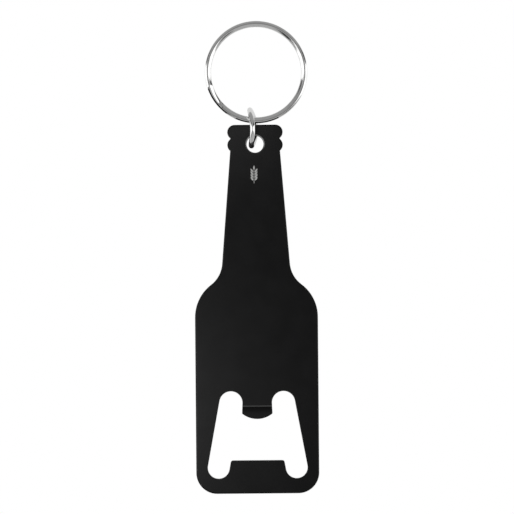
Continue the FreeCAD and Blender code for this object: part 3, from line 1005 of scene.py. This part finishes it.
# %% Shine and relief of the skin
SKIN_SHINE = (0.36, 0.44)
HOLE_GLOSS = 0.1
SMUDGE_GLOSS = 0.035
LAND_MATT = 0.35
SKIN_RELIEF = 0.004 * MM

smudge = place_group(tree, smudges, {"Vector": here, "Size in mm": 9.0, "Share": 0.45})
shine = ease(tree, grain["Grain"], *NOISE_RANGE, *SKIN_SHINE)
shine = maths(tree, "SUBTRACT", shine, maths(tree, "MULTIPLY", hole_bevel, HOLE_GLOSS))
shine = maths(tree, "SUBTRACT", shine, maths(tree, "MULTIPLY", smudge["Smudge"], SMUDGE_GLOSS))
shine = maths(tree, "ADD", shine, maths(tree, "MULTIPLY", land, LAND_MATT))
feed(tree, shader.inputs["Roughness"], shine)
add_bump(tree, shader, grain["Grain"], SKIN_RELIEF)
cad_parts["opener_plate"].material_slots[0].material = plate_finish
print("black skin:", len(tree.nodes), "nodes")

# %% [markdown]
# ## The bright wires
#
# Both wires are steel with a bright nickel plating. A metal shows only its reflection, tinted by
# its own colour, so the whole look lies in the roughness: almost none on the fresh plating, a
# little more in the rub marks and smudges. The marks also get a shallow relief.

# %% A finish for bright wire
NICKEL_BRIGHT = (0.80, 0.80, 0.795, 1)
NICKEL_DULL = (0.70, 0.70, 0.695, 1)
PLATING_SHINE = (0.07, 0.12)
MARK_MATT = 0.07
WIRE_RELIEF = 0.0006 * MM


def bright_wire(name, middle, turn, radius):
    """Nickel-plated wire that circles a middle; turn brings its axis to Y."""
    finish, tree, shader, here = new_finish(name, metallic=1.0)
    centred = add_node(
        tree,
        "ShaderNodeMapping",
        {"Vector": here, "Location": middle, "Rotation": turn},
        vector_type="TEXTURE",
    ).outputs[0]
    marks = place_group(
        tree, rub_marks, {"Vector": centred, "Radius in mm": radius / MM, "Width in mm": 0.07}
    )
    smudge = place_group(tree, smudges, {"Vector": centred, "Size in mm": 2.4, "Share": 0.4})
    grain = place_group(tree, fine_grain, {"Vector": centred, "Size in mm": 0.05})
    colour = blend_colours(tree, smudge["Smudge"], NICKEL_BRIGHT, NICKEL_DULL)
    feed(tree, shader.inputs["Base Color"], colour)
    shine = ease(tree, smudge["Smudge"], 0.0, 1.0, *PLATING_SHINE)
    shine = maths(tree, "ADD", shine, maths(tree, "MULTIPLY", marks["Marks"], MARK_MATT))
    feed(tree, shader.inputs["Roughness"], shine)
    relief = maths(tree, "SUBTRACT", grain["Grain"], marks["Marks"])
    add_bump(tree, shader, relief, WIRE_RELIEF)
    return finish


ring.data.materials.append(bright_wire("nickel_ring", (0, 0, 0), (0, 0, 0), RING_MIDDLE))
link.data.materials.append(
    bright_wire("nickel_link", tuple(LINK_MIDDLE), (0, 0, math.radians(90)), LINK_RADIUS)
)
print("bright wires:", ring.data.materials[0].name, link.data.materials[0].name)

# %% [markdown]
# ## The mark's finish
#
# A laser burns the dye out of the skin line by line. What is left is a pale grey, rough and
# finely hatched. The hatch is a Wave texture. Its length at scale 1 is worked out for diagonal
# bands on an upright face, so that the pitch can be given in millimetres.

# %% A hatched, pale grey burn
HATCH_PITCH = 0.0849 * MM
DIAGONAL_WAVE = math.tau / (10 * math.sqrt(2))
BURN_SHINE = (0.5, 0.7)
BURN_RELIEF = 0.003 * MM
BURN_LIGHT = (0.56, 0.56, 0.55, 1)
BURN_DARK = (0.36, 0.36, 0.355, 1)

burn, tree, shader, here = new_finish("laser_burn")
hatch = add_node(
    tree,
    "ShaderNodeTexWave",
    {"Vector": here, "Scale": DIAGONAL_WAVE / HATCH_PITCH, "Distortion": 0.4},
    bands_direction="DIAGONAL",
).outputs["Fac"]
grain = place_group(tree, fine_grain, {"Vector": here, "Size in mm": 0.07})
burnt = overlap(tree, hatch, grain["Grain"])
feed(tree, shader.inputs["Base Color"], blend_colours(tree, burnt, BURN_LIGHT, BURN_DARK))
burn_shine = ease(tree, grain["Grain"], *NOISE_RANGE, *BURN_SHINE)
feed(tree, shader.inputs["Roughness"], burn_shine)
add_bump(tree, shader, hatch, BURN_RELIEF)
mark.data.materials.append(burn)
print("laser burn:", len(tree.nodes), "nodes")

# %% [markdown]
# ## Everything rides on its body
#
# The imported model knows three bodies: the ring is held, the link swings on it, and the opener
# swings on the link. Each new piece says which body carries it and which solid it stands for.

# %% Ride and replace
for piece, body, node, slot in (
    (ring, "key_ring", "split_ring", "nickel_ring_wire"),
    (link, "link", "jump_ring", "nickel_link_wire"),
):
    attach(piece, body)
    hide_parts(node)
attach(mark, "opener")

# %% Update the view layer
bpy.context.view_layer.update()
